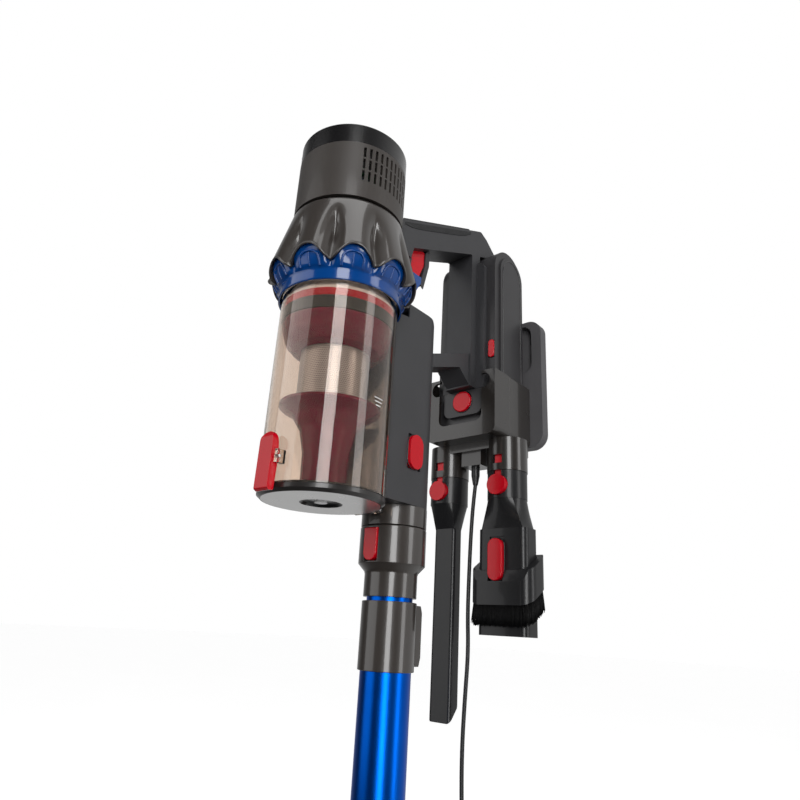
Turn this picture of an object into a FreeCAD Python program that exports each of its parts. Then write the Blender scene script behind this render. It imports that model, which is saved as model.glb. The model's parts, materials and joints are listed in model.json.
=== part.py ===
"""Cordless stick vacuum hanging in its wall dock, with two tools and a charging cable.

Frame, millimetres: the origin lies on the wall face, midway between the two wall screws.
+Z is up, +Y goes into the wall and +X is to the right for a person who faces the wall.
"""
import FreeCAD, Part
import math
import os
import re
import Sketcher
from FreeCAD import Placement, Rotation, Vector

SIZES = (
    # main axes
    ("bin_y", -268, "bin axis from the wall"),
    ("wand_y", -180, "wand axis from the wall"),
    ("tool_y", -49, "tool axes from the wall"),
    ("tool_x", 36, "tool axes from the middle"),
    # bin and motor
    ("bin_radius", 50, "outer radius of the dust bin"),
    ("bin_wall", 2, "wall of the dust bin"),
    ("bin_low", -175, "lower rim of the bin"),
    ("bin_high", -10.3, "upper rim of the bin"),
    ("house_radius", 49.5, "outer radius of the motor housing"),
    ("house_low", 71, "lower edge of the motor housing"),
    ("house_high", 127, "upper edge of the motor housing"),
    ("cap_high", 148, "top of the filter cap"),
    ("skirt_radius", 66, "outer radius of the fluted skirt"),
    ("band_radius", 53.2, "outer radius of the blue band"),
    ("screen_radius", 29, "outer radius of the mesh screen"),
    ("shaft_radius", 2.9, "fan shaft"),
    # spine and wand
    ("spine_half", 28, "half the width of the spine"),
    ("duct_radius", 19, "outer radius of the suction duct"),
    ("collar_radius", 28.5, "wand collar"),
    ("neck_radius", 22.4, "narrow end of the wand collar"),
    ("tube_inner", 19.3, "outer radius of the inner tube"),
    ("tube_outer", 20.8, "outer radius of the outer tube"),
    ("sleeve_radius", 23, "lock sleeve"),
    ("tube_foot", -745, "lower end of the outer tube"),
    # handle and battery
    ("grip_half", 16, "half the width of the grip"),
    ("plate_half", 26, "half the width of the handle's back plate"),
    ("pack_half", 36, "half the width of the battery case"),
    ("pack_front", -74, "front face of the battery"),
    ("pack_back", -15, "rear face of the battery"),
    ("pack_low", -59.7, "underside of the battery"),
    ("pack_arch", 121, "height of the centre of the battery's round top"),
    ("cell_radius", 9.1, "battery cell"),
    ("cell_length", 65, "battery cell"),
    # dock
    ("plate_wide", 58, "half the width of the wall plate"),
    ("plate_low", -77, "lower edge of the wall plate"),
    ("plate_high", 75, "upper edge of the wall plate"),
    ("plate_thick", 12, "wall plate"),
    ("screw_half", 60, "wall screws above and below the middle"),
    ("screw_hole", 2.6, "radius of the wall screw holes"),
    ("dock_half", 43, "half the width of the cradle"),
    ("dock_low", -79, "underside of the cradle"),
    ("dock_high", -9, "top edge of the cradle"),
    ("post_radius", 20.6, "tool socket, outside"),
    ("socket_radius", 18.3, "tool socket, inside"),
    ("spigot_radius", 18, "tool spigot"),
    ("post_low", -113, "lower end of the tool sockets"),
    # floor head
    ("floor_z", -865, "the floor"),
    ("pivot_z", -838, "head tilt pivot above the floor"),
    ("head_half", 125, "half the width of the floor head"),
    ("roller_y", -262, "brush roller axis"),
    ("roller_z", -843, "brush roller axis"),
    # cable
    ("cable_radius", 2, "charging cable"),
)

doc = FreeCAD.newDocument("stick_vacuum")
sheet = doc.addObject("Spreadsheet::Sheet", "sizes")
for line, (alias, value, note) in enumerate(SIZES, start=1):
    sheet.set("A%d" % line, alias)
    sheet.set("B%d" % line, str(value))
    sheet.set("C%d" % line, note)
    sheet.setAlias("B%d" % line, alias)
doc.recompute()
ALIASES = {alias for alias, value, note in SIZES}
NODES = []


def rule(text):
    """An expression in the sheet's names, such as "bin_radius - 2", written for setExpression."""
    return re.sub(r"[a-z_]+", lambda word: "sizes." + word.group(0) if word.group(0) in ALIASES
                  else word.group(0), str(text))


def value(text):
    """The number that a rule gives now."""
    return float(sheet.evalExpression(rule(text).replace("sizes.", "")))


def bind(thing, prop, text):
    thing.setExpression(prop, rule(text))


def put(thing, x=0, y=0, z=0, turn=None):
    """Place a thing by rules for its position and an optional fixed rotation."""
    thing.Placement = Placement(Vector(value(x), value(y), value(z)), turn or Rotation())
    for axis, text in (("x", x), ("y", y), ("z", z)):
        bind(thing, "Placement.Base." + axis, text)
    return thing


AXIS_TURN = {
    "z": Rotation(),
    "x": Rotation(Vector(0, 1, 0), 90),
    "y": Rotation(Vector(1, 0, 0), -90),
}


def new(kind, label):
    thing = doc.addObject(kind, label)
    thing.Label = label
    return thing


def box(label, x, y, z):
    """A box between two rules along each axis: x, y and z are (low, high)."""
    thing = new("Part::Box", label)
    for prop, (low, high) in (("Length", x), ("Width", y), ("Height", z)):
        bind(thing, prop, "(%s) - (%s)" % (high, low))
    return put(thing, x[0], y[0], z[0])


def rod(label, radius, axis, low, high, x=0, y=0, z=0):
    """A cylinder along x, y or z between two rules; the other two coordinates are its axis."""
    thing = new("Part::Cylinder", label)
    bind(thing, "Radius", radius)
    bind(thing, "Height", "(%s) - (%s)" % (high, low))
    place = {"x": x, "y": y, "z": z}
    place[axis] = low
    return put(thing, place["x"], place["y"], place["z"], AXIS_TURN[axis])


def tube(label, outer, inner, axis, low, high, x=0, y=0, z=0):
    return cut(label, rod(label + "_outside", outer, axis, low, high, x, y, z),
               rod(label + "_bore", inner, axis, low, high, x, y, z))


def fuse(label, *things):
    thing = new("Part::MultiFuse", label)
    thing.Shapes = list(things)
    thing.Refine = True
    return thing


def cut(label, base, *tools):
    thing = new("Part::Cut", label)
    thing.Base = base
    thing.Tool = tools[0] if len(tools) == 1 else fuse(label + "_tools", *tools)
    thing.Refine = True
    return thing


def outline(body, role, points):
    """A closed sketch of straight sides on one of the body's own planes, every corner bound."""
    sketch = body.newObject("Sketcher::SketchObject", body.Name + "_outline")
    plane = [item for item in body.Origin.OriginFeatures if item.Role == role][0]
    sketch.AttachmentSupport = [(plane, "")]
    sketch.MapMode = "FlatFace"
    flat = [Vector(value(point[0]), value(point[1]), 0) for point in points]
    count = len(flat)
    for i in range(count):
        sketch.addGeometry(Part.LineSegment(flat[i], flat[(i + 1) % count]), False)
    for i in range(count):
        sketch.addConstraint(Sketcher.Constraint("Coincident", i, 2, (i + 1) % count, 1))
    for i in range(count):
        for kind, number, text in (("DistanceX", flat[i].x, points[i][0]),
                                   ("DistanceY", flat[i].y, points[i][1])):
            index = sketch.addConstraint(Sketcher.Constraint(kind, -1, 1, i, 1, number))
            name = "corner_%d_%s" % (i, kind[-1].lower())
            sketch.renameConstraint(index, name)
            if not re.fullmatch(r"-?[0-9.]+", str(text)):
                sketch.setExpression("Constraints." + name, rule(text))
    return sketch


def turned(label, points, x=0, y=0):
    """A body of revolution about a vertical axis; points are (radius, height)."""
    body = new("PartDesign::Body", label)
    sketch = outline(body, "XZ_Plane", points)
    spin = body.newObject("PartDesign::Revolution", label + "_turn")
    spin.Profile = sketch
    spin.ReferenceAxis = (sketch, ["V_Axis"])
    spin.Angle = 360
    sketch.Visibility = False
    return put(body, x, y, 0)


# For each axis: the sketch plane and the end of the range from which the pad leaves.
PLANES = {"x": ("YZ_Plane", 0), "y": ("XZ_Plane", 1), "z": ("XY_Plane", 0)}


def prism(label, axis, low, high, points, rounds=()):
    """A straight-sided outline padded along an axis, with some of its corners rounded.

    Points are (Y, Z) for axis x, (X, Z) for axis y and (X, Y) for axis z.
    Rounds are (radius, corner numbers).
    """
    body = new("PartDesign::Body", label)
    role, end = PLANES[axis]
    sketch = outline(body, role, points)
    pad = body.newObject("PartDesign::Pad", label + "_pad")
    pad.Profile = sketch
    bind(pad, "Length", "(%s) - (%s)" % (high, low))
    doc.recompute()
    last = pad
    for radius, corners in rounds:
        spots = [(value(points[i][0]), value(points[i][1])) for i in corners]
        names = edges_at(last.Shape, axis, spots)
        last_round = body.newObject("PartDesign::Fillet", label + "_round")
        last_round.Base = (last, names)
        last_round.Radius = radius
        doc.recompute()
        last = last_round
    place = {"x": 0, "y": 0, "z": 0}
    place[axis] = (low, high)[end]
    return put(body, place["x"], place["y"], place["z"])


def edges_at(shape, axis, spots):
    """Names of the edges along an axis that stand on the given corners of the outline."""
    keep = {"x": ("y", "z"), "y": ("x", "z"), "z": ("x", "y")}[axis]
    found = []
    for number, edge in enumerate(shape.Edges, start=1):
        ends = [(getattr(v.Point, keep[0]), getattr(v.Point, keep[1])) for v in edge.Vertexes]
        if len(ends) == 2 and math.dist(ends[0], ends[1]) < 1e-6:
            if any(math.dist(ends[0], spot) < 1e-3 for spot in spots):
                found.append("Edge%d" % number)
    return found


def feature(label, shape):
    """A sub-part whose shape comes from Part's own functions."""
    thing = new("Part::Feature", label)
    thing.Shape = shape
    return thing


def node(thing):
    NODES.append(thing)
    return thing


def around(x, y, angle, radius, z=0.0):
    """A point at an angle in degrees and a radius round a vertical axis."""
    turn = math.radians(angle)
    return Vector(x + radius * math.cos(turn), y + radius * math.sin(turn), z)


# ---------------------------------------------------------------- wall dock

def make_wall_plate():
    plate = prism("plate_blank", "y", "-plate_thick", 0,
                  [("-plate_wide", "plate_low"), ("plate_wide", "plate_low"),
                   ("plate_wide", "plate_high"), ("-plate_wide", "plate_high")], [(16, (0, 1, 2, 3))])
    recess = prism("plate_recess", "y", "-plate_thick - 1", -4,
                   [("12 - plate_wide", 11), ("plate_wide - 12", 11),
                    ("plate_wide - 12", "plate_high - 5"), ("12 - plate_wide", "plate_high - 5")],
                   [(12, (0, 1, 2, 3))])
    holes = []
    for end, sign in (("upper", ""), ("lower", "-")):
        holes.append(rod("hole_" + end, "screw_hole", "y", "-plate_thick - 1", 1,
                         0, 0, sign + "screw_half"))
        mouth = "-plate_thick" if sign else "-4"
        holes.append(rod("sink_" + end, "2 * screw_hole", "y", mouth + " - 1", mouth + " + 2.2",
                         0, 0, sign + "screw_half"))
    node(cut("wall_plate", plate, recess, *holes))


def make_cradle():
    """The cradle is a matt bracket against the plate and a glossy shell in front of it."""
    ring = [("-dock_half", "dock_high"), ("-dock_half", "dock_low"),
            ("dock_half", "dock_low"), ("dock_half", "dock_high")]
    bracket = prism("bracket_blank", "y", -56, "-plate_thick", ring, [(8, (1, 2))])
    pocket = box("bracket_pocket", ("4 - dock_half", "dock_half - 4"), (-57, 0),
                 ("dock_low + 4", "dock_high + 1"))
    contacts = box("charge_block", (-14, 14), (-52, -36), ("dock_low + 3", "pack_low - 0.3"))
    node(fuse("dock_bracket", cut("bracket_walls", bracket, pocket), contacts))
    shell = prism("shell_blank", "y", -85, -56, ring, [(8, (1, 2))])
    inside = box("shell_pocket", ("4 - dock_half", "dock_half - 4"), (-81.5, -50),
                 ("dock_low + 4", "dock_high + 1"))
    window = prism("shell_window", "y", -90, -80,
                   [(-27, "dock_high + 5"), (-27, -63), (27, -63), (27, "dock_high + 5")], [(8, (1, 2))])
    lobe_left = rod("lobe_left", 8, "y", -90, -80, -29, 0, -20)
    lobe_right = rod("lobe_right", 8, "y", -90, -80, 29, 0, -20)
    node(cut("cradle_shell", shell, inside, window, lobe_left, lobe_right))


def make_tool_rack():
    slab = box("rack_slab", (-40, 40), (-66, "-plate_thick"), (-88, "dock_low"))
    middle = box("rack_middle", (-12, 12), (-62, -40), (-103, -87))
    plug_hole = rod("rack_plug_hole", 4.7, "z", -120, -92, 0, -53)
    things, bores = [slab, middle], [plug_hole]
    for side, sign in (("left", "-"), ("right", "")):
        things.append(rod("post_" + side, "post_radius", "z", "post_low", "dock_low",
                          sign + "tool_x", "tool_y"))
        bores.append(rod("socket_" + side, "socket_radius", "z", "post_low - 1", -84,
                         sign + "tool_x", "tool_y"))
        bores.append(box("tab_window_" + side, (sign + "tool_x - 5.5", sign + "tool_x + 5.5"),
                         ("tool_y - 25", "tool_y - 12"), (-106, -97)))
    node(cut("tool_rack", fuse("rack_solid", *things), *bores))


# ---------------------------------------------------------------- battery

def arch(label, low, high, front, back, foot, centre, shrink=0):
    """An upright slab with a half-round top, seen from the side, between two X values."""
    radius = "(%s - (%s)) / 2 - %s" % (back, front, shrink)
    middle = "(%s + (%s)) / 2" % (back, front)
    slab = box(label + "_slab", (low, high), ("%s + %s" % (front, shrink), "%s - %s" % (back, shrink)),
               (foot, centre))
    top = rod(label + "_top", radius, "x", low, high, 0, middle, centre)
    return fuse(label, slab, top)


def make_battery():
    case = arch("case_outside", "-pack_half", "pack_half", "pack_front", "pack_back",
                "pack_low", "pack_arch")
    hollow = arch("case_inside", "2.5 - pack_half", "pack_half - 2.5", "pack_front", "pack_back",
                  "pack_low + 2.5", "pack_arch", 2.5)
    foot = prism("case_foot", "y", -80, "pack_front + 0.5",
                 [(-24, -25.3), (-24, -53), (24, -53), (24, -25.3)], [(8, (1, 2))])
    button_well = rod("button_well", 11.7, "y", -81, -74.6, 0, 0, -37.5)
    power_well = box("power_well", (28.1, 35.9), (-75, -71.6), (9, 30))
    power_floor = box("power_floor", (26.5, 35.9), (-71.8, -70), (7, 32))
    shell = fuse("case_shell", cut("case_walls", case, hollow), foot, power_floor)
    node(cut("battery_case", shell, button_well, power_well))
    panels = []
    for side, low, high in (("left", "-pack_half - 2.2", "-pack_half"),
                            ("right", "pack_half", "pack_half + 2.2")):
        panels.append(arch("panel_" + side, low, high, -65, -18, -8, "pack_arch"))
    node(fuse("battery_side_panels", *panels))
    cells = []
    for x in (-20.0, 0.0, 20.0):
        for y in (-56.0, -33.0):
            base = Vector(x, y, value("pack_low") + 2.5)
            cells.append(Part.makeCylinder(value("cell_radius"), value("cell_length"), base))
    node(feature("battery_cells", Part.makeCompound(cells)))
    button = rod("release_disc", 11.4, "y", -82.5, -77.2, 0, 0, -37.5)
    node(rounded("battery_release_button", button, 1.2, -82.5))
    power = prism("power_slug", "y", -75.6, -73.7,
                  [(28.4, 9.3), (35.6, 9.3), (35.6, 29.7), (28.4, 29.7)], [(3.5, (0, 1, 2, 3))])
    node(rounded("power_button", power, 0.6, -75.6))


def rounded(label, base, radius, y):
    """Round the edges that lie in the plane at the given Y, on the face towards the room."""
    doc.recompute()
    names = [number for number, edge in enumerate(base.Shape.Edges, start=1)
             if abs(edge.BoundBox.YMin - y) < 1e-3 and abs(edge.BoundBox.YMax - y) < 1e-3]
    thing = new("Part::Fillet", label)
    thing.Base = base
    thing.Edges = [(number, radius, radius) for number in names]
    return thing


# ---------------------------------------------------------------- handle

def make_handle():
    grip = prism("grip_bar", "x", "-grip_half", "grip_half",
                 [(-226, 103), (-226, 74), (-196, 74), (-192, 87), (-162, 101), (-90, 134.5),
                  (-74.3, 128), (-74.3, 140), (-42, 152), (-42, 157), (-61, 170), (-73, 174.5),
                  (-209, 111)],
                 [(6, (10, 11)), (10, (5,))])
    column = box("rear_column", ("-grip_half", "grip_half"), (-90, -74.3), (-25, 140))
    plate = prism("back_plate", "y", -80, -74.3,
                  [("-plate_half", -25), ("plate_half", -25), ("plate_half", 128), ("-plate_half", 128)],
                  [(10, (2, 3))])
    strut = prism("lower_strut", "x", "2 - grip_half", "grip_half - 2",
                  [(-165, -17), (-165, -31), (-107, -10), (-88, -25), (-79, -25), (-79, 16),
                   (-90, 12)])
    guard = prism("trigger_guard", "x", -10, 10,
                  [(-166.3, 97), (-166.3, 82), (-173, 57), (-168, 54), (-160, 84), (-160, 104)])
    web = box("trigger_web", (-13, 13), (-226, -192), (70, 106))
    solid = fuse("handle_solid", grip, column, plate, strut, guard, web)
    housing_room = rod("housing_room", "house_radius + 0.3", "z", 60, 160, 0, "bin_y")
    skirt_room = turned("skirt_room", [(0, 60), (0, 71.2), (50.6, 71.2), (50.6, 67), (52.5, 60)],
                        0, "bin_y")
    spine_room = rod("spine_room", "spine_half", "z", -60, 14, 0, "wand_y")
    arch_room = rod("arch_room", 29.8, "x", -40, 40, 0, -44.5, "pack_arch")
    slot = box("trigger_slot", (-9, 9), (-190.6, -166.6), (50, 112))
    node(cut("handle_shell", solid, housing_room, skirt_room, spine_room, arch_room, slot))
    pad = prism("grip_pad", "x", "1.5 - grip_half", "grip_half - 1.5",
                [(-208, 111.47), (-94, 164.69), (-94.8, 166.5), (-208.8, 113.28)])
    node(pad)
    node(prism("trigger", "x", -8.6, 8.6,
               [(-190.2, 97), (-190.2, 76), (-183, 60), (-176, 61), (-167, 82), (-167, 97)],
               [(3, (2, 3))]))


def make_trigger_spring():
    """A small coil spring between the trigger and the top of its slot."""
    coil_radius, wire, turns, length = 3.0, 0.35, 5, 15.0
    helix = Part.makeHelix((length - 2 * wire) / turns, length - 2 * wire, coil_radius)
    start = Vector(coil_radius, 0, 0)
    section = Part.Wire([Part.makeCircle(wire, start, Vector(0, 1, 0))])
    spring = Part.Wire(helix.Edges).makePipeShell([section], True, True)
    spring.translate(Vector(0, -178, 97 + wire))
    node(feature("trigger_spring", spring))


# ---------------------------------------------------------------- motor and cyclone

def make_motor_housing():
    wall = turned("housing_wall",
                  [(46.5, "house_low"), ("house_radius", "house_low"), ("house_radius", "house_high"),
                   (46.5, "house_high"), (46.5, 85), (22, 85), (22, 82), (46.5, 82)], 0, "bin_y")
    doc.recompute()
    y, radius = value("bin_y"), value("house_radius")
    slots = []
    for step in range(39):
        angle = -33 + 6.4 * step
        if abs(angle - 90) < 24 or angle > 213.5:
            continue
        for level in range(3):
            slot = Part.makeBox(8, 2.2, 10.4, Vector(radius - 6, -1.1, 88 + 12.2 * level))
            slot.rotate(Vector(), Vector(0, 0, 1), angle)
            slot.translate(Vector(0, y, 0))
            slots.append(slot)
    vents = feature("vent_slots", Part.makeCompound(slots))
    node(cut("motor_housing", wall, vents))


def make_cap_and_filter():
    node(turned("filter_cap",
                [(0, "cap_high - 3"), (46.6, "cap_high - 3"), (46.6, "house_high + 0.3"),
                 (49.3, "house_high + 0.3"), (49.3, "cap_high - 2"), (47.5, "cap_high"),
                 (0, "cap_high")], 0, "bin_y"))
    node(tube("hepa_filter", 43, 26, "z", 129, "cap_high - 3", 0, "bin_y"))


def make_fan():
    node(turned("fan_motor",
                [("shaft_radius + 0.1", 80), (21.5, 80), (21.5, 85), (30, 85), (30, 88), (21.5, 88),
                 (21.5, 116), (0, 116), (0, 113), ("shaft_radius + 0.1", 113)], 0, "bin_y"))
    hub = turned("fan_hub", [(0, 73), (42, 73), (42, 74.5), (9, 74.5), (7, 79), ("shaft_radius", 79),
                             ("shaft_radius", 110), (0, 110)], 0, "bin_y")
    doc.recompute()
    y = value("bin_y")
    blades = []
    for step in range(9):
        blade = Part.makeBox(31, 1.2, 4.6, Vector(10, -0.6, 74.3))
        blade.rotate(Vector(10, 0, 0), Vector(0, 0, 1), 25)
        blade.rotate(Vector(), Vector(0, 0, 1), 40 * step)
        blade.translate(Vector(0, y, 0))
        blades.append(blade)
    node(fuse("impeller", hub, feature("fan_blades", Part.makeCompound(blades))))
    node(rod("control_board", 30, "z", 116, 117.6, 0, "bin_y"))


def make_cyclone():
    skirt = turned("skirt_shell",
                   [(42, "house_low"), (50.3, "house_low"), (50.3, 67), ("skirt_radius", 5),
                    ("skirt_radius", 0), (58, 0), (42, 64)], 0, "bin_y")
    arches = []
    for step in range(10):
        bore = rod("skirt_arch_%d" % step, 11.5, "y", 0, 30)
        bore.Placement = Placement(around(0, value("bin_y"), 36 * step, 45, 4),
                                   Rotation(Vector(0, 0, 1), 36 * step).multiply(AXIS_TURN["x"]))
        arches.append(bore)
    node(cut("cyclone_cover", skirt, *arches))
    node(turned("cyclone_ring",
                [(44, -10), ("band_radius", -10), ("band_radius", -2), (57.6, -0.2), (57.6, 0.2),
                 (53.8, 15), (44, 15)], 0, "bin_y"))
    hood = prism("band_hood", "x", -26, 26,
                 [(-226, 13.5), (-209, 13.5), (-191, 44), (-191, 50), (-226, 50)])
    skirt_room = turned("hood_room", [(0, -12), (0, 60), (52.3, 60), (66.3, 5.3), (66.3, -12)],
                        0, "bin_y")
    node(cut("duct_hood", hood, skirt_room))
    cones = []
    y = value("bin_y")
    for step in range(8):
        cone = Part.makeCone(4, 9, 44, around(0, y, 45 * step, 29, -6))
        cones.append(cone)
    cluster = feature("cone_row", Part.makeCompound(cones))
    disc = rod("cone_disc", 41.5, "z", 38, 42, 0, "bin_y")
    node(fuse("cyclone_cones", disc, cluster))


def make_core():
    node(turned("core_collar", [(39, -24), (47.4, -24), (47.4, -15), (43.8, -10), (43.8, -6.3), (39, -6.3)],
                0, "bin_y"))
    node(turned("bin_seal", [(33, -35), (47.7, -35), (47.7, -24), (33, -24)], 0, "bin_y"))
    node(turned("core_flange",
                [("screen_radius", -35), (47, -35), (47, -38), (43, -50), (37, -56),
                 ("screen_radius", -58)], 0, "bin_y"))
    node(tube("mesh_screen", "screen_radius", "screen_radius - 1.5", "z", -100, -35, 0, "bin_y"))
    node(turned("core_skirt",
                [(0, -100), (31, -100), (41.5, -104), (41.5, -106), (31, -112), (23, -124),
                 (19, -142), (18.5, -160), (18.5, -172), (0, -172)], 0, "bin_y"))


# ---------------------------------------------------------------- spine and nozzle

def make_spine():
    sides = box("spine_sides", ("-spine_half", "spine_half"), (-226, "wand_y"), (-170, 13.2))
    back = rod("spine_back", "spine_half", "z", -170, 13.2, 0, "wand_y")
    bin_room = rod("bin_room", "bin_radius + 0.7", "z", -200, 14, 0, "bin_y")
    ring_room = turned("ring_room", [(0, -12), (54, -12), (54, -2.5), (66.5, -0.5), (66.5, 14), (0, 14)],
                       0, "bin_y")
    inside = rod("spine_hollow", "spine_half - 3", "z", -171, 8, 0, "wand_y")
    room = box("spine_room_front", ("3 - spine_half", "spine_half - 3"), (-211, "wand_y"), (-164, 8))
    pill = box("pill_well", ("spine_half - 4", "spine_half + 1"), (-200, -182), (-140, -109))
    chamfer = prism("spine_chamfer", "x", -40, 40, [(-172, 14), (-150, 14), (-150, 2)])
    pill_floor = box("pill_floor", ("spine_half - 7", "spine_half - 1"), (-202, "wand_y"), (-142, -107))
    shell = cut("spine_walls", fuse("spine_solid", sides, back), bin_room, ring_room, inside, room,
                chamfer)
    node(cut("spine_shell", fuse("spine_with_floor", shell, pill_floor), pill))
    node(tube("inlet_duct", "duct_radius", "duct_radius - 2", "z", -225, 2, 0, "wand_y"))
    node(tube("nozzle_neck", "spine_half + 0.3", "duct_radius", "z", -187, -170, 0, "wand_y"))
    pill_button = prism("bin_release_button", "x", "spine_half - 1.7", "spine_half + 3",
                        [(-199.6, -139.6), (-182.4, -139.6), (-182.4, -109.4), (-199.6, -109.4)],
                        [(8.4, (0, 1, 2, 3))])
    node(pill_button)


# ---------------------------------------------------------------- bin

def make_bin():
    wall = turned("bin_wall_ring",
                  [("bin_radius - bin_wall", "bin_low"), ("bin_radius", "bin_low"),
                   ("bin_radius", "bin_high"), ("bin_radius - bin_wall", "bin_high")], 0, "bin_y")
    things = [wall]
    for side, low, high in (("left", -14, -8), ("right", 8, 14)):
        things.append(box("bin_hinge_arm_" + side, (low, high), (-219.8, -214.5), (-174.8, -172)))
        things.append(box("bin_hinge_web_" + side, (low, high), (-217.4, -214.5), (-177, -172)))
        things.append(rod("bin_hinge_eye_" + side, 3, "x", low, high, 0, -214.5, -177))
    for side, low, high in (("left", -11, -8), ("right", 8, 11)):
        things.append(box("latch_lug_" + side, (low, high), (-324.5, -314), (-162, -152)))
    keep = rod("bin_keep_out", "bin_radius - bin_wall", "z", -180, 0, 0, "bin_y")
    flap_pin_bore = rod("flap_pin_bore", 1.2, "x", -15, 15, 0, -214.5, -177)
    latch_pin_bore = rod("latch_pin_bore", 1.2, "x", -15, 15, 0, -322, -157)
    node(cut("dust_bin", fuse("bin_solid", *things), keep, flap_pin_bore, latch_pin_bore))
    node(rod("flap_hinge_pin", 1.2, "x", -14, 14, 0, -214.5, -177))
    node(rod("latch_pin", 1.2, "x", -11, 11, 0, -322, -157))
    disc = turned("flap_disc", [(0, -178.5), (15, -178.5), (17, -181), (47, -181), (49.8, -178.6),
                                (49.8, -175.3), (0, -175.3)], 0, "bin_y")
    boss = rod("flap_boss", 5, "z", -180.5, -178, 0, "bin_y")
    eye = rod("flap_eye", 3, "x", -7.6, 7.6, 0, -214.5, -177)
    eye_web = box("flap_eye_web", (-7.6, 7.6), (-222, -214.5), (-180, -175.4))
    eye_bore = rod("flap_eye_bore", 1.3, "x", -15, 15, 0, -214.5, -177)
    node(cut("bin_flap", fuse("flap_solid", disc, boss, eye, eye_web), eye_bore))
    node(tube("flap_seal", 47.6, 44, "z", -175.3, -173.3, 0, "bin_y"))
    lever = prism("latch_lever", "x", -7.5, 7.5,
                  [(-322.6, -138), (-325, -138), (-327, -142), (-327.4, -180.5), (-325, -182),
                   (-321.5, -181.3), (-320.5, -160), (-319.6, -157), (-320.5, -154), (-322, -143)],
                  [(1.5, (2, 3))])
    crown_ring = tube("latch_crown_ring", 20, 7.5, "y", -336, -309, 0, 0, -145.5)
    crown_keep = box("latch_crown_keep", (-21, 21), (-337, -308), (-170, -145.5))
    crown = cut("latch_crown", crown_ring, crown_keep)
    lever_bore = rod("lever_bore", 1.3, "x", -15, 15, 0, -322, -157)
    node(cut("bin_latch", lever, crown, lever_bore))


# ---------------------------------------------------------------- wand

def make_wand():
    collar = turned("collar_solid",
                    [("tube_inner", -187.3), ("collar_radius - 1", -187.3), ("collar_radius", -188.3),
                     ("collar_radius", -218), ("neck_radius + 0.6", -224), ("neck_radius", -226),
                     ("neck_radius", -244.4), ("tube_inner", -244.4)], 0, "wand_y")
    well = box("wand_button_well", (-7.4, 7.4), (-212, -202), (-217, -189.7))
    node(cut("wand_collar", collar, well))
    slug = prism("wand_button_slug", "y", -209.5, -204.6,
                 [(-7, -190), (-7, -216.7), (7, -216.7), (7, -190)], [(6.8, (1, 2))])
    node(rounded("wand_release_button", slug, 0.8, -209.5))
    node(tube("inner_tube", "tube_inner", "tube_inner - 1.4", "z", -530, -226, 0, "wand_y"))
    sleeve = rod("sleeve_ring", "sleeve_radius", "z", -300.8, -247.6, 0, "wand_y")
    pod = prism("sleeve_pod", "x", -12, 12,
                [(-165, -297), (-152, -297), (-150, -290), (-150, -255), (-152, -249), (-165, -249)])
    bore = rod("sleeve_bore", "tube_inner + 0.3", "z", -301, -247, 0, "wand_y")
    seat = rod("sleeve_seat", "tube_outer", "z", -301, -290, 0, "wand_y")
    rail = box("lever_room", (-9.4, 9.4), (-152.5, -149), (-295.2, -251.6))
    node(cut("wand_sleeve", fuse("sleeve_solid", sleeve, pod), bore, seat, rail))
    node(prism("length_lever", "x", -9, 9,
               [(-152.3, -290.6), (-149, -290.6), (-146.6, -284), (-146.6, -260), (-149, -252),
                (-152.3, -252)], [(2, (2, 3))]))
    node(tube("outer_tube", "tube_outer", "tube_inner + 0.3", "z", "tube_foot", -290, 0, "wand_y"))
    node(turned("wand_foot",
                [(0, -800), (16, -800), (24, -776), (24, -735), ("tube_outer", -735),
                 ("tube_outer", "tube_foot"), (17, "tube_foot"), (17, -790), (0, -790)], 0, "wand_y"))


# ---------------------------------------------------------------- floor head

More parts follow.
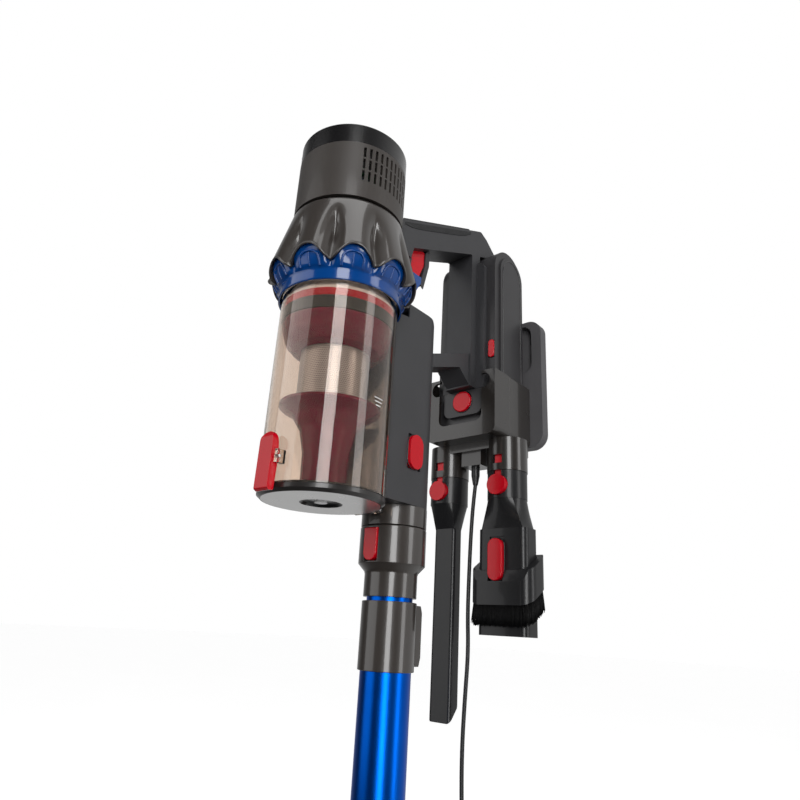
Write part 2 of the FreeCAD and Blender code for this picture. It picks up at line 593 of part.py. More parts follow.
def make_head():
    stem = turned("yoke_stem", [(0, "pivot_z"), (14, "pivot_z"), (15.5, -806), (15.5, -800.3),
                                (0, -800.3)], 0, "wand_y")
    barrel = rod("yoke_barrel", 11, "x", -16, 16, 0, "wand_y", "pivot_z")
    pin = rod("yoke_pin", 4, "x", -25, 25, 0, "wand_y", "pivot_z")
    node(fuse("head_yoke", stem, barrel, pin))
    shell = prism("head_blank", "x", "-head_half", "head_half",
                  [(-285, -855), (-285, -836), (-268, -818), (-205, -815), (-158, -826), (-158, -858),
                   (-170, -861), (-280, -861)], [(8, (1, 2)), (5, (3, 4))])
    notch = box("yoke_notch", (-17, 17), (-201, -150), (-880, -800))
    barrel_room = rod("yoke_barrel_room", 12.5, "x", -17, 17, 0, "wand_y", "pivot_z")
    chamber = rod("roller_chamber", 21.5, "x", -118, 118, 0, "roller_y", "roller_z")
    mouth = box("roller_mouth", (-118, 118), (-280, -242), (-880, "roller_z"))
    axle_holes = rod("roller_axle_holes", 3.1, "x", -122, 122, 0, "roller_y", "roller_z")
    pin_holes = rod("yoke_pin_holes", 4.1, "x", -26, 26, 0, "wand_y", "pivot_z")
    throat = prism("suction_throat", "x", -17, 17, [(-243, -862), (-200, -862), (-200, -822), (-243, -835)])
    wells = []
    for side, low, high in (("left", -62, -44), ("right", 44, 62)):
        wells.append(rod("wheel_well_" + side, 13.5, "x", low, high, 0, -172, -853))
        wells.append(rod("wheel_axle_hole_" + side, 2.1, "x", low - 4, high + 4, 0, -172, -853))
        near, far = (-112, -28) if side == "left" else (28, 112)
        wells.append(box("head_room_" + side, (near, far), (-237, -180), (-856, -823)))
        middle, edge = (-113, -127) if side == "left" else (113, 127)
        block = box("head_corner_" + side, (min(middle, edge), max(middle, edge)), (-287, -273), (-870, -800))
        keep = rod("head_corner_keep_" + side, 12, "z", -871, -799, middle, -273)
        wells.append(cut("head_corner_cut_" + side, block, keep))
    node(cut("head_housing", shell, notch, barrel_room, chamber, mouth, axle_holes, pin_holes,
             throat, *wells))
    core = rod("roller_core", 14, "x", -117, 117, 0, "roller_y", "roller_z")
    axle = rod("roller_axle", 3, "x", -121.5, 121.5, 0, "roller_y", "roller_z")
    doc.recompute()
    strips = []
    for step in range(6):
        strip = Part.makeBox(232, 3, 7, Vector(-116, -1.5, 13))
        strip.rotate(Vector(), Vector(1, 0, 0), 60 * step)
        strip.translate(Vector(0, value("roller_y"), value("roller_z")))
        strips.append(strip)
    node(fuse("brush_roller", core, axle, feature("roller_strips", Part.makeCompound(strips))))
    wheels = []
    for side, sign in (("left", -1), ("right", 1)):
        start = 46 if sign > 0 else -60
        wheel = rod("wheel_" + side, 12, "x", start, start + 14, 0, -172, -853)
        stub = rod("wheel_stub_" + side, 2, "x", 41 if sign > 0 else -65, 65 if sign > 0 else -41,
                   0, -172, -853)
        wheels.append(fuse("head_wheel_" + side, wheel, stub))
    doc.recompute()
    node(feature("head_wheels", Part.makeCompound([wheel.Shape for wheel in wheels])))


# ---------------------------------------------------------------- tools

def tool_collar(label, x):
    """The spigot and collar that fit a tool socket, with the groove of its catch."""
    spigot = rod(label + "_spigot", "spigot_radius", "z", -142, -86, x, "tool_y")
    collar = rod(label + "_collar", 20, "z", -141, "post_low - 0.3", x, "tool_y")
    return [spigot, collar]


def catch_room(label, x):
    groove = box(label + "_groove", (x + " - 4.4", x + " + 4.4"), ("tool_y - 21", "tool_y - 13.4"),
                 (-135, -95))
    pocket = rod(label + "_pocket", 10.6, "y", "tool_y - 25", "tool_y - 13.4", x, 0, -128)
    return [groove, pocket]


def make_catch(label, x):
    disc = rod(label + "_disc", 10.3, "y", "tool_y - 22.8", "tool_y - 15.2", x, 0, -128)
    strip = box(label + "_strip", (x + " - 4", x + " + 4"), ("tool_y - 17.4", "tool_y - 15.2"),
                (-130, -95.6))
    node(fuse(label, disc, strip))


def shoulder(label, x, half_wide, half_deep, low):
    """A ruled transition from the round collar to a flat rectangle below it."""
    centre = Vector(value(x), value("tool_y"), 0)
    radius, high = 19.5, -141.0
    turns = [math.radians(45 + 90 * step) for step in range(4)]
    arcs, sides = [], []
    corners = [centre + Vector(sx * half_wide, sy * half_deep, low)
               for sx, sy in ((1, 1), (-1, 1), (-1, -1), (1, -1))]
    for step, turn in enumerate(turns):
        ends = [centre + Vector(radius * math.cos(angle), radius * math.sin(angle), high)
                for angle in (turn, turn + math.pi / 4, turn + math.pi / 2)]
        arcs.append(Part.Arc(*ends).toShape())
        sides.append(Part.makeLine(corners[step], corners[(step + 1) % 4]))
    return feature(label, Part.makeLoft([Part.Wire(arcs), Part.Wire(sides)], True, True))


def rounded_slab(label, wide, half_deep, tall, radius):
    """An upright slab round tool_y with four rounded vertical corners."""
    front, back = "tool_y - %s" % half_deep, "tool_y + %s" % half_deep
    return prism(label, "z", tall[0], tall[1],
                 [(wide[0], front), (wide[1], front), (wide[1], back), (wide[0], back)],
                 [(radius, (0, 1, 2, 3))])


def make_crevice_tool():
    taper = shoulder("crevice_taper", "-tool_x", 11.7, 6.3, -168)
    blade = prism("crevice_blade", "z", -351, -166,
                  [("-tool_x - 13", "tool_y - 7.5"), ("-tool_x + 13", "tool_y - 7.5"),
                   ("-tool_x + 13", "tool_y + 7.5"), ("-tool_x - 13", "tool_y + 7.5")],
                  [(4, (0, 1, 2, 3))])
    slant = prism("crevice_slant", "x", "-tool_x - 20", "-tool_x + 20",
                  [("tool_y - 9", -351.7), ("tool_y - 9", -370), ("tool_y + 9", -370),
                   ("tool_y + 9", -331.3)])
    room = box("crevice_air", ("-tool_x - 11", "-tool_x + 11"), ("tool_y - 5.5", "tool_y + 5.5"),
               (-360, -150))
    bore = rod("crevice_bore", 11.5, "z", -151, -80, "-tool_x", "tool_y")
    solid = fuse("crevice_solid", taper, blade, *tool_collar("crevice", "-tool_x"))
    node(cut("crevice_tool", solid, slant, room, bore, *catch_room("crevice", "-tool_x")))
    make_catch("crevice_catch", "-tool_x")


def make_combination_tool():
    taper = shoulder("combi_taper", "tool_x", 23.5, 11, -171)
    barrel = rounded_slab("combi_body", (9, 63), 13, (-269, -170), 7)
    room = prism("combi_air", "y", "tool_y - 10.5", "tool_y + 10.5",
                 [(15, -272), (12, -200), (20, -160), (52, -160), (60, -200), (59, -272)])
    bore = rod("combi_bore", 11.5, "z", -165, -80, "tool_x", "tool_y")
    solid = fuse("combi_solid", taper, barrel, *tool_collar("combi", "tool_x"))
    slider_slot = box("slider_slot", (23.6, 40.4), ("tool_y - 14", "tool_y - 11.6"), (-222, -178))
    node(cut("combination_tool", solid, room, bore, slider_slot, *catch_room("combi", "tool_x")))
    make_catch("combination_catch", "tool_x")
    # The skirt and its bristles slant up towards the wall.
    skirt_out = rounded_slab("brush_skirt_out", (2, 70), 17.5, (-243, -192), 12)
    above = prism("brush_skirt_above", "x", -5, 75,
                  [("tool_y - 20", -221), ("tool_y - 17.5", -221), ("tool_y - 14", -210),
                   ("tool_y + 14", -193), ("tool_y + 17.5", -197), ("tool_y + 20", -197),
                   ("tool_y + 20", -150), ("tool_y - 20", -150)])
    below = prism("brush_skirt_below", "x", -5, 75,
                  [("tool_y - 20", -243.5), ("tool_y - 20", -300), ("tool_y + 20", -300),
                   ("tool_y + 20", -219.5)])
    skirt_in = rounded_slab("brush_skirt_in", (8.6, 63.4), 13.4, (-260, -180), 7.4)
    slider_room = box("skirt_slider_room", (23.7, 40.3), ("tool_y - 20", "tool_y"), (-220.3, -179))
    node(cut("brush_skirt", skirt_out, above, below, skirt_in, slider_room))
    tufts = rounded_slab("tuft_block", (3.5, 68.5), 16.5, (-262, -221), 11)
    tuft_above = prism("tuft_above", "x", -5, 75,
                       [("tool_y - 20", -243.5), ("tool_y + 20", -219.5), ("tool_y + 20", -200),
                        ("tool_y - 20", -200)])
    tuft_below = prism("tuft_below", "x", -5, 75,
                       [("tool_y - 20", -264.1), ("tool_y - 20", -300), ("tool_y + 20", -300),
                        ("tool_y + 20", -239.9)])
    tuft_room = rounded_slab("tuft_room", (8.6, 63.4), 13.4, (-270, -180), 7.4)
    node(cut("brush_bristles", tufts, tuft_above, tuft_below, tuft_room))
    slider = prism("slider_slug", "y", "tool_y - 18.5", "tool_y - 13.3",
                   [(24, -220), (40, -220), (40, -180), (24, -180)], [(7.8, (0, 1, 2, 3))])
    node(rounded("slider_button", slider, 1.0, -67.5))


# ---------------------------------------------------------------- charging cable

# The route hangs from the plug, bends on to the floor behind the head and ends at the coil.
CABLE_ROUTE = (
    (0, -53, -122), (-2.2, -53.5, -142), (-4.9, -53, -178), (-6.9, -52.2, -222), (-7.6, -52, -252),
    (-5.9, -52.4, -286), (-8.6, -52.8, -326), (-11.6, -52, -372), (-11.4, -50.6, -424),
    (-8.2, -50, -478), (-6.4, -50.8, -534), (-8.4, -52, -590), (-11.8, -52.6, -646),
    (-12.6, -51.6, -702), (-10.4, -50.2, -756), (-9.4, -48.8, -802), (-12.5, -47.2, -832),
    (-23, -45.6, -854), (-44, -44, -862.8), (-64, -39, -863), (-80, -27, -863),
)


def cable_path(points):
    """Straight runs joined by tangent arcs, each as large as its two runs allow."""
    edges, here = [], points[0]
    radii = []
    for i in range(1, len(points) - 1):
        before, corner, after = points[i - 1], points[i], points[i + 1]
        to_back = (before - corner).normalize()
        to_next = (after - corner).normalize()
        run = min((corner - before).Length, (after - corner).Length)
        turn = math.pi - to_back.getAngle(to_next)
        reach = 0.45 * run
        radius = reach / math.tan(turn / 2)
        radii.append(radius)
        enter, leave = corner + to_back * reach, corner + to_next * reach
        middle = (to_back + to_next).normalize()
        depth = math.hypot(radius, reach) - radius
        top = corner + middle * depth
        edges.append(Part.LineSegment(here, enter).toShape())
        edges.append(Part.Arc(enter, top, leave).toShape())
        here = leave
    edges.append(Part.LineSegment(here, points[-1]).toShape())
    return Part.Wire(edges), radii


def make_cable():
    barrel = rod("plug_barrel", 4.4, "z", -112, -92.4, 0, -53)
    relief = new("Part::Cone", "plug_relief")
    bind(relief, "Radius1", "cable_radius + 0.6")
    relief.Radius2 = 4.4
    relief.Height = 10
    put(relief, 0, -53, -122)
    node(fuse("charge_plug", barrel, relief))
    points = [Vector(*point) for point in CABLE_ROUTE]
    path, radii = cable_path(points)
    radius = value("cable_radius")
    start = Part.Wire([Part.makeCircle(radius, points[0], points[1] - points[0])])
    lead = path.makePipeShell([start], True, False)
    print("cable arc radii:", " ".join("%.0f" % r for r in radii))
    print("cable volume %.0f, section times length %.0f" % (
        lead.Volume, math.pi * radius ** 2 * path.Length))
    print("cable hanging length %.0f" % path.Length)
    node(feature("charging_cable", lead))
    node(tube("cable_coil", 29, 15, "z", "floor_z", "floor_z + 16", -108, -36))
    adapter = box("adapter_block", (-170, -142), (-58, -14), ("floor_z", "floor_z + 62"))
    blades = [box("adapter_pin_%d" % i, (-158.5 + 5 * i, -157 + 5 * i), (-14.5, -2), (-824, -818))
              for i in (-1, 1)]
    node(fuse("power_adapter", adapter, *blades))


for make in (make_wall_plate, make_cradle, make_tool_rack, make_battery,
             make_handle, make_trigger_spring, make_motor_housing, make_cap_and_filter, make_fan,
             make_cyclone, make_core, make_spine, make_bin, make_wand, make_head,
             make_crevice_tool, make_combination_tool, make_cable):
    make()
doc.recompute()

os.makedirs("parts", exist_ok=True)
for thing in doc.Objects:
    if "Invalid" in thing.State or "Error" in thing.State:
        raise RuntimeError("%s failed: %s" % (thing.Label, thing.State))
for thing in NODES:
    shape = thing.Shape
    if shape.isNull() or not shape.isValid() or not shape.Solids:
        raise RuntimeError("%s has no valid solid" % thing.Label)
    shape.exportStep("parts/%s.step" % thing.Label)
    print("%-24s %2d solids %9.0f mm3" % (thing.Label, len(shape.Solids), shape.Volume))
print(len(NODES), "nodes")
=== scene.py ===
"""Looks of the cordless stick vacuum in its wall dock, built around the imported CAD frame."""
import json
import math
import random

import bpy
from mathutils import Matrix, Vector


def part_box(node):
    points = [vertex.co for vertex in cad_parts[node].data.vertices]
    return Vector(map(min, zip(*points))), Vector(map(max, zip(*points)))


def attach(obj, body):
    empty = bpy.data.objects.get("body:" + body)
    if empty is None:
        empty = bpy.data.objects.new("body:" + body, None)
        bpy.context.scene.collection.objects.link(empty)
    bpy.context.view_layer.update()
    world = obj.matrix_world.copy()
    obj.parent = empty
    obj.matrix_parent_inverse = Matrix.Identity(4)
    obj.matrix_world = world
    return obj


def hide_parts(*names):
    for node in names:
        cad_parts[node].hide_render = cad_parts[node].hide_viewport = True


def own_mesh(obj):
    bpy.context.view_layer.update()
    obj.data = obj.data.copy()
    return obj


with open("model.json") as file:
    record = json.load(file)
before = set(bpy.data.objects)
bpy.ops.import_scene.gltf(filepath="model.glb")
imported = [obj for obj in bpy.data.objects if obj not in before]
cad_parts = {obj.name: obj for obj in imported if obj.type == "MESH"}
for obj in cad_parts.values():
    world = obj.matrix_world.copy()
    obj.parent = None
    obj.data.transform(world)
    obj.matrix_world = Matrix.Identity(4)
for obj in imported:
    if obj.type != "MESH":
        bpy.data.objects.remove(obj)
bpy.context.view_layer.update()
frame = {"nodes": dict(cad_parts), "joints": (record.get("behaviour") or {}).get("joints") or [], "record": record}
nodes = frame["nodes"]
MM = 0.001
BIN_AXIS = Vector((0, -0.268, 0))
# The wheels of the floor head stand this far below its housing.
WHEELS_BELOW = 4 * MM
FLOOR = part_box("head_housing")[0].z - WHEELS_BELOW


# ---------------------------------------------------------------- camera

CAMERA_PLACE = (0.3604, -0.5978, -0.2702)
CAMERA_ANGLES = (40.9, 20.2, 3.39)  # azimuth, pitch upwards and roll, in degrees
CAMERA_LENS, CAMERA_SENSOR = 28.26, 36.0


def make_camera():
    """The photograph's angle: from the right, below the bin, looking up."""
    azimuth, pitch, roll = (math.radians(angle) for angle in CAMERA_ANGLES)
    ahead = Vector((-math.sin(azimuth) * math.cos(pitch), math.cos(azimuth) * math.cos(pitch),
                    math.sin(pitch)))
    level = Vector((math.cos(azimuth), math.sin(azimuth), 0))
    upward = level.cross(ahead)
    right = math.cos(roll) * level + math.sin(roll) * upward
    top = -math.sin(roll) * level + math.cos(roll) * upward
    data = bpy.data.cameras.new("camera")
    data.lens, data.sensor_width = CAMERA_LENS, CAMERA_SENSOR
    data.clip_start, data.clip_end = 0.01, 50
    camera = bpy.data.objects.new("camera", data)
    turn = Matrix((right, top, -ahead)).transposed().to_4x4()
    camera.matrix_world = Matrix.Translation(CAMERA_PLACE) @ turn
    bpy.context.scene.collection.objects.link(camera)
    bpy.context.scene.camera = camera


make_camera()


# ---------------------------------------------------------------- materials

class Nodes:
    """A small wrapper that adds shader nodes and links them by socket name."""

    def __init__(self, name):
        self.material = bpy.data.materials.new(name)
        self.material.use_nodes = True
        self.tree = self.material.node_tree
        self.shader = self.tree.nodes["Principled BSDF"]
        self.place = self.add("ShaderNodeTexCoord").outputs["Object"]

    def add(self, kind, inputs=None, **settings):
        made = self.tree.nodes.new(kind)
        for key, setting in settings.items():
            setattr(made, key, setting)
        for key, given in (inputs or {}).items():
            socket = made.inputs[key]
            if isinstance(given, bpy.types.NodeSocket):
                self.tree.links.new(given, socket)
            else:
                socket.default_value = given
        return made

    def noise(self, grain, detail=2.0, place=None):
        """Noise whose blobs are about one grain across, in metres."""
        made = self.add("ShaderNodeTexNoise", {"Vector": place or self.place, "Scale": 1 / grain,
                                               "Detail": detail})
        return made.outputs["Fac"]

    def math(self, operation, *values, clamp=False):
        """The result of one maths node on sockets or numbers."""
        made = self.add("ShaderNodeMath", operation=operation, use_clamp=clamp)
        for socket, given in zip(made.inputs, values):
            if isinstance(given, bpy.types.NodeSocket):
                self.tree.links.new(given, socket)
            else:
                socket.default_value = given
        return made.outputs[0]

    def ramp(self, factor, *stops, smooth=True):
        """A colour ramp through (position, colour) stops, in bands where it isn't smooth."""
        made = self.add("ShaderNodeValToRGB", {"Fac": factor})
        made.color_ramp.interpolation = "LINEAR" if smooth else "CONSTANT"
        ends = made.color_ramp.elements
        while len(ends) < len(stops):
            ends.new(0.5)
        for end, (position, colour) in zip(ends, stops):
            end.position = position
            end.color = (*colour, 1) if len(colour) == 3 else colour
        return made.outputs["Color"]

    def span(self, factor, low, high):
        """A factor from 0 to 1, stretched from low to high."""
        made = self.add("ShaderNodeMapRange", {"Value": factor, "To Min": low, "To Max": high})
        return made.outputs["Result"]

    def bump(self, height, depth, strength=1.0, under=None):
        """The normal of a relief of this depth, laid over another normal where one is given."""
        inputs = {"Height": height, "Distance": depth, "Strength": strength}
        if under is not None:
            inputs["Normal"] = under
        return self.add("ShaderNodeBump", inputs).outputs["Normal"]

    def feed(self, **sockets):
        """Sets or links the main shader's sockets, with _ for each space in a name."""
        for key, given in sockets.items():
            socket = self.shader.inputs[key.replace("_", " ")]
            if isinstance(given, bpy.types.NodeSocket):
                self.tree.links.new(given, socket)
            else:
                socket.default_value = given


def shade(colour, factor):
    """A lighter or darker version of a colour."""
    return tuple(min(1.0, part * factor) for part in colour)


def moulded(name, colour, rough, grain=0.35 * MM, depth=0.02 * MM, coat=0.0, vary=0.06, shine=0.5):
    """Moulded plastic: uneven tone, a fine surface grain and, where coat is set, a gloss."""
    shader = Nodes(name)
    tone = shader.ramp(shader.noise(35 * MM, 3), (0.3, shade(colour, 1 - vary)),
                       (0.7, shade(colour, 1 + vary)))
    worn = shader.span(shader.noise(14 * MM, 2), rough * 0.92, rough * 1.1)
    relief = shader.bump(shader.noise(grain, 2), depth)
    shader.feed(Base_Color=tone, Roughness=worn, Normal=relief, Specular_IOR_Level=shine)
    if coat:
        shader.feed(Coat_Weight=coat, Coat_Roughness=0.06)
    return shader.material


def smoky(name):
    """Clear brown-tinted polycarbonate with faint flow marks."""
    shader = Nodes(name)
    tone = shader.ramp(shader.noise(60 * MM, 2), (0.3, (0.755, 0.655, 0.575)),
                       (0.7, (0.785, 0.685, 0.605)))
    relief = shader.bump(shader.noise(45 * MM, 1), 0.03 * MM)
    shader.feed(Base_Color=tone, Roughness=shader.span(shader.noise(20 * MM, 2), 0.02, 0.05),
                Normal=relief, IOR=1.45, Transmission_Weight=1.0)
    return shader.material


def anodised(name, colour):
    """Satin anodised aluminium with a faint drawn grain along the tube."""
    shader = Nodes(name)
    stretched = shader.add("ShaderNodeMapping", {"Vector": shader.place, "Scale": (1, 1, 0.03)})
    drawn = shader.noise(0.5 * MM, 3, stretched.outputs["Vector"])
    tone = shader.ramp(shader.noise(50 * MM, 2), (0.3, shade(colour, 0.9)), (0.7, shade(colour, 1.1)))
    shader.feed(Base_Color=tone, Metallic=1.0, Roughness=shader.span(drawn, 0.26, 0.36),
                Normal=shader.bump(drawn, 0.01 * MM))
    return shader.material


def perforated(name):
    """Bright steel screen with rows of fine round holes round the bin's axis; the holes are painted near-black as
    painted shade inside them.
    """
    shader = Nodes(name)
    parts = shader.add("ShaderNodeSeparateXYZ", {"Vector": shader.place})
    depth = shader.math("SUBTRACT", parts.outputs["Y"], BIN_AXIS.y)
    angle = shader.math("ARCTAN2", depth, parts.outputs["X"])
    pitch, around, hole = 1.6 * MM, 116, 0.27  # row height, holes in a row, hole radius over pitch
    column = shader.math("MULTIPLY", angle, around / (2 * math.pi))
    row = shader.math("DIVIDE", parts.outputs["Z"], pitch)
    odd = shader.math("MULTIPLY", shader.math("MODULO", shader.math("FLOOR", row), 2.0), 0.5)
    across = shader.math("SUBTRACT", shader.math("FRACT", shader.math("ADD", column, odd)), 0.5)
    along = shader.math("SUBTRACT", shader.math("FRACT", row), 0.5)
    gap = shader.math("SQRT", shader.math("ADD", shader.math("MULTIPLY", across, across),
                                          shader.math("MULTIPLY", along, along)))
    solid = shader.math("GREATER_THAN", gap, hole)
    # The holes are painted near-black: painted shade where one looks into them.
    tone = shader.ramp(solid, (0.0, (0.05, 0.045, 0.045)), (1.0, (0.40, 0.40, 0.41)))
    shader.feed(Base_Color=tone, Metallic=0.85, Roughness=shader.span(shader.noise(4 * MM), 0.28, 0.42),
                Normal=shader.bump(solid, 0.1 * MM))
    return shader.material


def ribbed_with_painted_shade(name, colour):
    """Soft grip pad with small raised squares set diagonally; the square tops carry a painted highlight and the
    gaps between them a painted shade.
    """
    shader = Nodes(name)
    parts = shader.add("ShaderNodeSeparateXYZ", {"Vector": shader.place})
    pitch = 2.1 * MM
    upright = shader.math("ADD", parts.outputs["X"], parts.outputs["Z"])
    slanted = shader.math("ADD", upright, parts.outputs["Y"])
    crossed = shader.math("SUBTRACT", upright, parts.outputs["Y"])
    waves = [shader.math("PINGPONG", shader.math("DIVIDE", line, pitch), 0.5)
             for line in (slanted, crossed)]
    stud = shader.math("MULTIPLY", shader.math("MULTIPLY", *waves), 4.0, clamp=True)
    relief = shader.bump(stud, 0.6 * MM, under=shader.bump(shader.noise(0.3 * MM), 0.03 * MM))
    # The tone is painted light and shade: half as bright in the gaps between squares, a third brighter on their
    # tops.
    tone = shader.ramp(stud, (0.1, shade(colour, 0.5)), (0.8, shade(colour, 1.3)))
    shader.feed(Base_Color=tone, Roughness=shader.span(shader.noise(5 * MM), 0.62, 0.78), Normal=relief)
    return shader.material


def banded_collar(name):
    """The core's top: a silver ring over a red ring, parted at a set height."""
    shader = Nodes(name)
    parting = -17.4 * MM
    first_colour, second_colour, mixed_colour = 6, 7, 2  # the colour sockets of a Mix node
    height = shader.add("ShaderNodeSeparateXYZ", {"Vector": shader.place}).outputs["Z"]
    step = shader.math("GREATER_THAN", height, parting)
    tone = shader.ramp(shader.noise(30 * MM), (0.3, (0.34, 0.004, 0.014)), (0.7, (0.42, 0.008, 0.02)))
    silver = shader.ramp(shader.noise(25 * MM), (0.3, (0.55, 0.55, 0.56)), (0.7, (0.68, 0.68, 0.69)))
    mixed = shader.add("ShaderNodeMix", {"Factor": step, first_colour: tone, second_colour: silver},
                       data_type="RGBA")
    shader.feed(Base_Color=mixed.outputs[mixed_colour],
                Roughness=shader.span(shader.noise(5 * MM), 0.22, 0.34),
                Normal=shader.bump(shader.noise(0.5 * MM), 0.02 * MM), Specular_IOR_Level=0.25)
    return shader.material


def zoned_flap(name):
    """The bin's base from its middle outwards: bright boss, recess painted near-black as painted shade, silver
    disc, dark rim.
    """
    shader = Nodes(name)
    parts = shader.add("ShaderNodeSeparateXYZ", {"Vector": shader.place})
    depth = shader.math("SUBTRACT", parts.outputs["Y"], BIN_AXIS.y)
    reach = shader.math("SQRT", shader.math("ADD", shader.math("MULTIPLY", depth, depth),
                                            shader.math("POWER", parts.outputs["X"], 2.0)))
    share = shader.math("DIVIDE", reach, 50 * MM)
    boss_end, recess_end, disc_end = 0.105, 0.335, 0.925
    # The recess between boss and disc is painted near-black as painted shade.
    bright, black, rim = (0.74, 0.74, 0.73), (0.008, 0.008, 0.008), (0.018, 0.016, 0.015)
    tone = shader.ramp(share, (0.0, bright), (boss_end, black), (recess_end, bright), (disc_end, rim),
                       smooth=False)
    uneven = shader.span(shader.noise(18 * MM), 0.24, 0.34)
    metal = shader.math("MULTIPLY", shader.math("GREATER_THAN", share, recess_end),
                        shader.math("LESS_THAN", share, disc_end))
    shader.feed(Base_Color=tone, Roughness=uneven, Metallic=shader.math("MULTIPLY", metal, 0.7),
                Coat_Weight=0.4, Coat_Roughness=0.06,
                Normal=shader.bump(shader.noise(0.6 * MM), 0.004 * MM))
    return shader.material


def brushed(name, colour, rough=0.3):
    """Bare metal with fine streaks."""
    shader = Nodes(name)
    streaks = shader.noise(0.4 * MM, 3)
    tone = shader.ramp(shader.noise(12 * MM, 3), (0.3, shade(colour, 0.85)), (0.7, shade(colour, 1.1)))
    shader.feed(Base_Color=tone, Metallic=1.0, Roughness=shader.span(streaks, rough * 0.8, rough * 1.3),
                Normal=shader.bump(streaks, 0.01 * MM))
    return shader.material


def fibrous(name, colour, shine=0.5):
    """Bristles and filter paper: dull, streaky fibres."""
    shader = Nodes(name)
    streaks = shader.noise(0.6 * MM, 4)
    tone = shader.ramp(streaks, (0.3, shade(colour, 0.6)), (0.7, shade(colour, 1.5)))
    shader.feed(Base_Color=tone, Roughness=shader.span(streaks, 0.55, 0.75),
                Normal=shader.bump(streaks, 0.1 * MM), Specular_IOR_Level=shine)
    return shader.material


GUNMETAL = (0.040, 0.034, 0.030)
MATS = {
    "shell_gloss": moulded("shell_gloss", GUNMETAL, 0.3, 0.8 * MM, 0.002 * MM, coat=0.8),
    "cap_black": moulded("cap_black", (0.006, 0.0055, 0.006), 0.25, 0.8 * MM, 0.002 * MM, coat=0.6),
    "shell_satin": moulded("shell_satin", GUNMETAL, 0.45, 0.8 * MM, 0.002 * MM, coat=0.12),
    "shell_matte": moulded("shell_matte", (0.034, 0.034, 0.037), 0.45, 0.3 * MM, 0.015 * MM),
    "tool_matte": moulded("tool_matte", (0.010, 0.010, 0.011), 0.34, 0.3 * MM, 0.01 * MM, coat=0.2,
                          shine=0.35),
    "dock_matte": moulded("dock_matte", (0.085, 0.083, 0.087), 0.5, 0.3 * MM, 0.02 * MM),
    "dock_gloss": moulded("dock_gloss", (0.020, 0.017, 0.015), 0.28, 0.8 * MM, 0.003 * MM, coat=0.7),
    "battery_grey": moulded("battery_grey", (0.032, 0.031, 0.033), 0.36, 0.3 * MM, 0.01 * MM),
    "rubber_dark": moulded("rubber_dark", (0.012, 0.012, 0.013), 0.7, 0.5 * MM, 0.04 * MM),
    "grip": ribbed_with_painted_shade("grip_rubber", (0.024, 0.024, 0.026)),
    "ring_blue": moulded("ring_blue", (0.0008, 0.052, 0.24), 0.16, 0.8 * MM, 0.002 * MM, coat=0.8,
                         shine=0.25),
    "button_red": moulded("button_red", (0.52, 0.0005, 0.009), 0.16, 0.5 * MM, 0.004 * MM, shine=0.35),
    "core_maroon": moulded("core_maroon", (0.115, 0.001, 0.020), 0.25, 0.5 * MM, 0.005 * MM, shine=0.3),
    "collar": banded_collar("core_bands"),
    "screen_steel": perforated("screen_steel"),
    "bin_clear": smoky("bin_clear"),
    "flap_silver": moulded("flap_silver", (0.50, 0.50, 0.50), 0.3, 0.5 * MM, 0.005 * MM, coat=0.3),
    "flap_zones": zoned_flap("flap_zones"),
    "tube_blue": anodised("tube_blue", (0.001, 0.10, 0.56)),
    "pin_steel": brushed("pin_steel", (0.55, 0.55, 0.55)),
    "cell_metal": brushed("cell_metal", (0.35, 0.38, 0.42), 0.4),
    "cone_grey": moulded("cone_grey", (0.13, 0.13, 0.14), 0.45),
    "filter_white": fibrous("filter_white", (0.6, 0.6, 0.57)),
    "board_green": moulded("board_green", (0.01, 0.09, 0.03), 0.4, 1 * MM, 0.1 * MM),
    "bristle_black": fibrous("bristle_black", (0.0022, 0.0022, 0.0024), shine=0.2),
    "cable_black": moulded("cable_black", (0.008, 0.008, 0.009), 0.42, 0.8 * MM, 0.03 * MM),
    "adapter_black": moulded("adapter_black", (0.012, 0.012, 0.013), 0.5, 0.4 * MM, 0.04 * MM),
    "mark_white": moulded("mark_white", (0.75, 0.75, 0.74), 0.5, 0.5 * MM, 0.01 * MM),
    "seal_green": moulded("seal_green", (0.006, 0.011, 0.011), 0.45, 0.5 * MM, 0.02 * MM),
}

# Nodes that wear another material than their slot's own.
SPECIAL = {"grip_pad": "grip", "core_collar": "collar", "bin_seal": "seal_green",
           "bin_flap": "flap_zones", "motor_housing": "shell_satin", "cradle_shell": "dock_gloss",
           "dock_bracket": "dock_gloss", "tool_rack": "dock_gloss", "crevice_tool": "tool_matte",
           "combination_tool": "tool_matte", "brush_skirt": "tool_matte"}


def dress_cad_nodes():
    """Each CAD node gets its slot's material, smooth round faces and softened edges."""
    # How wide each node's softened edges are, in millimetres; the others get 0.4.
    widths = {"cradle_shell": 1.6, "handle_shell": 1.2, "dock_bracket": 1.0, "wall_plate": 1.2,
              "motor_housing": 0.35, "filter_cap": 0.8, "battery_case": 0.8, "battery_side_panels": 0.8,
              "head_housing": 5.0, "power_adapter": 5.0, "spine_shell": 0.8, "combination_tool": 0.9,
              "crevice_tool": 0.9, "tool_rack": 0.8, "trigger": 0.9, "bin_latch": 0.9,
              "length_lever": 0.8, "wand_sleeve": 0.6, "crevice_catch": 0.5,
              "combination_catch": 0.5, "bin_release_button": 0.9, "trigger_spring": 0.0,
              "dust_bin": 0.3, "mesh_screen": 0.0, "charging_cable": 0.0, "brush_skirt": 0.9}
    for part in frame["record"]["subparts"]:
        piece = nodes[part["node"]]
        piece.data.materials.clear()
        piece.data.materials.append(MATS[SPECIAL.get(part["node"], part["material_slot"])])
        smooth_and_bevel(piece, widths.get(part["node"], 0.4) * MM)


